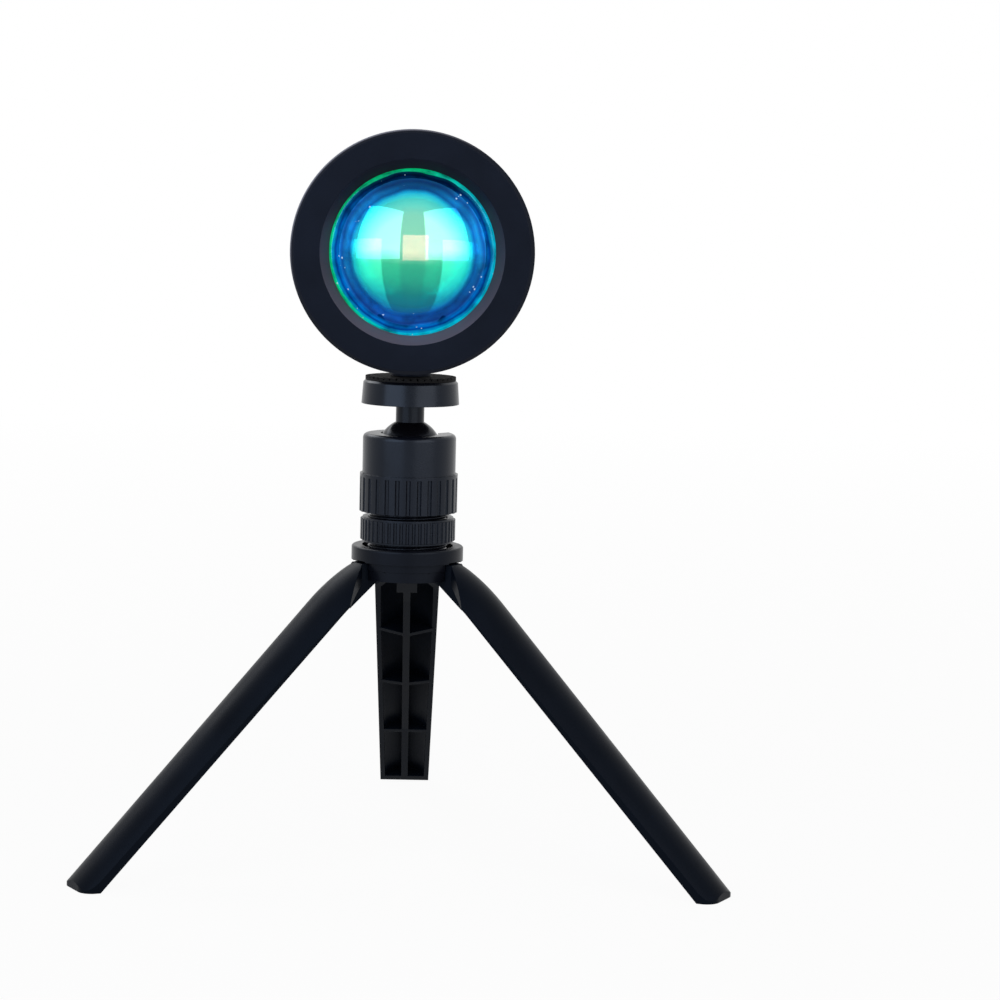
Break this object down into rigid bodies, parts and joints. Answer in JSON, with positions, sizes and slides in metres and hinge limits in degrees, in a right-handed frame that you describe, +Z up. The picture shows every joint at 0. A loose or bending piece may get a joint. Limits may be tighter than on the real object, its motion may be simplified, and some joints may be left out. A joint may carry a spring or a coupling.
{
  "type": "projection lamp",
  "caption": "Round projection lamp head with a domed coated lens, on a ball head with a clamp sleeve and lock ring, carried by a small tripod with folding channel legs.",
  "frame": {"origin": "on the surface that the feet stand on, at the middle of the bounding box in plan; the axis of the tripod is 20.23 mm behind the front-to-back middle, towards the lens side", "axes": "+Z up along the axis of the tripod, the lens faces -Y, +X is to the right seen from the front"},
  "size_m": [0.1596, 0.1392, 0.1817],
  "materials": {
    "tripod_plastic": "fine satin moulded plastic",
    "ball_head_plastic": "satin moulded plastic",
    "ball_plastic": "smooth moulded plastic",
    "seat_nylon": "smooth nylon",
    "steel": "plain steel",
    "pad_rubber": "ribbed rubber",
    "black_anodised": "matt black anodised",
    "brass": "turned",
    "lens_glass": "coated glass, blue-green sheen",
    "black_rubber": "smooth rubber",
    "reflector_white": "white moulded plastic",
    "led_phosphor": "yellow encapsulated light source",
    "board_white": "white solder mask",
    "board_green": "green solder mask",
    "receiver_black": "black epoxy",
    "window_red": "dark red clear plastic",
    "wire": "insulated wire"
  },
  "bodies": {
    "tripod": {"tripod_hub": "tripod_plastic", "hub_base": "tripod_plastic", "hub_screw": "steel", "hinge_pins": "steel", "socket_core": "ball_head_plastic"},
    "leg_left": {"leg_left": "tripod_plastic"},
    "leg_right": {"leg_right": "tripod_plastic"},
    "leg_back": {"leg_back": "tripod_plastic"},
    "lock_ring": {"lock_ring": "ball_head_plastic"},
    "clamp_sleeve": {"clamp_sleeve": "ball_head_plastic"},
    "ball_seat": {"ball_seat": "seat_nylon"},
    "ball_stud": {"ball_stud": "ball_plastic", "platform_disc": "ball_head_plastic", "platform_pad": "pad_rubber"},
    "lamp_head": {"lamp_housing": "black_anodised", "thread_insert": "brass", "front_bezel": "black_anodised", "lens": "lens_glass", "lens_gasket": "black_rubber", "lens_retainer": "ball_plastic", "reflector": "reflector_white", "led_chip": "led_phosphor", "led_board": "board_white", "board_screws": "steel", "heat_sink": "black_anodised", "led_leads": "wire", "driver_board": "board_green", "ir_receiver": "receiver_black", "ir_window": "window_red", "cable_grommet": "black_rubber", "rear_cover": "ball_head_plastic", "cover_screws": "steel"}
  },
  "joints": [
    {"name": "leg_left_fold", "type": "hinge", "parent": "tripod", "child": "leg_left", "pos_m": [-0.00823, -0.02498, 0.07295], "axis": [0.5, -0.866, 0], "range_deg": [0, 47]},
    {"name": "leg_right_fold", "type": "hinge", "parent": "tripod", "child": "leg_right", "pos_m": [0.00823, -0.02498, 0.07295], "axis": [0.5, 0.866, 0], "range_deg": [0, 47]},
    {"name": "leg_back_fold", "type": "hinge", "parent": "tripod", "child": "leg_back", "pos_m": [0, -0.01073, 0.07295], "axis": [-1, 0, 0], "range_deg": [0, 47]},
    {"name": "lock_ring_turn", "type": "hinge", "parent": "tripod", "child": "lock_ring", "pos_m": [0, -0.02022, 0.07945], "axis": [0, 0, 1], "range_deg": [0, 180]},
    {"name": "sleeve_turn", "type": "hinge", "parent": "tripod", "child": "clamp_sleeve", "pos_m": [0, -0.02022, 0.08705], "axis": [0, 0, 1], "range_deg": [0, 180]},
    {"name": "ball_pan", "type": "hinge", "parent": "tripod", "child": "ball_seat", "pos_m": [0, -0.02022, 0.10225], "axis": [0, 0, 1], "continuous": true},
    {"name": "ball_tilt", "type": "hinge", "parent": "ball_seat", "child": "ball_stud", "pos_m": [0, -0.02022, 0.10225], "axis": [1, 0, 0], "range_deg": [-32, 32]},
    {"name": "head_swivel", "type": "hinge", "parent": "ball_stud", "child": "lamp_head", "pos_m": [0, -0.02022, 0.11995], "axis": [0, 0, 1], "continuous": true}
  ]
}
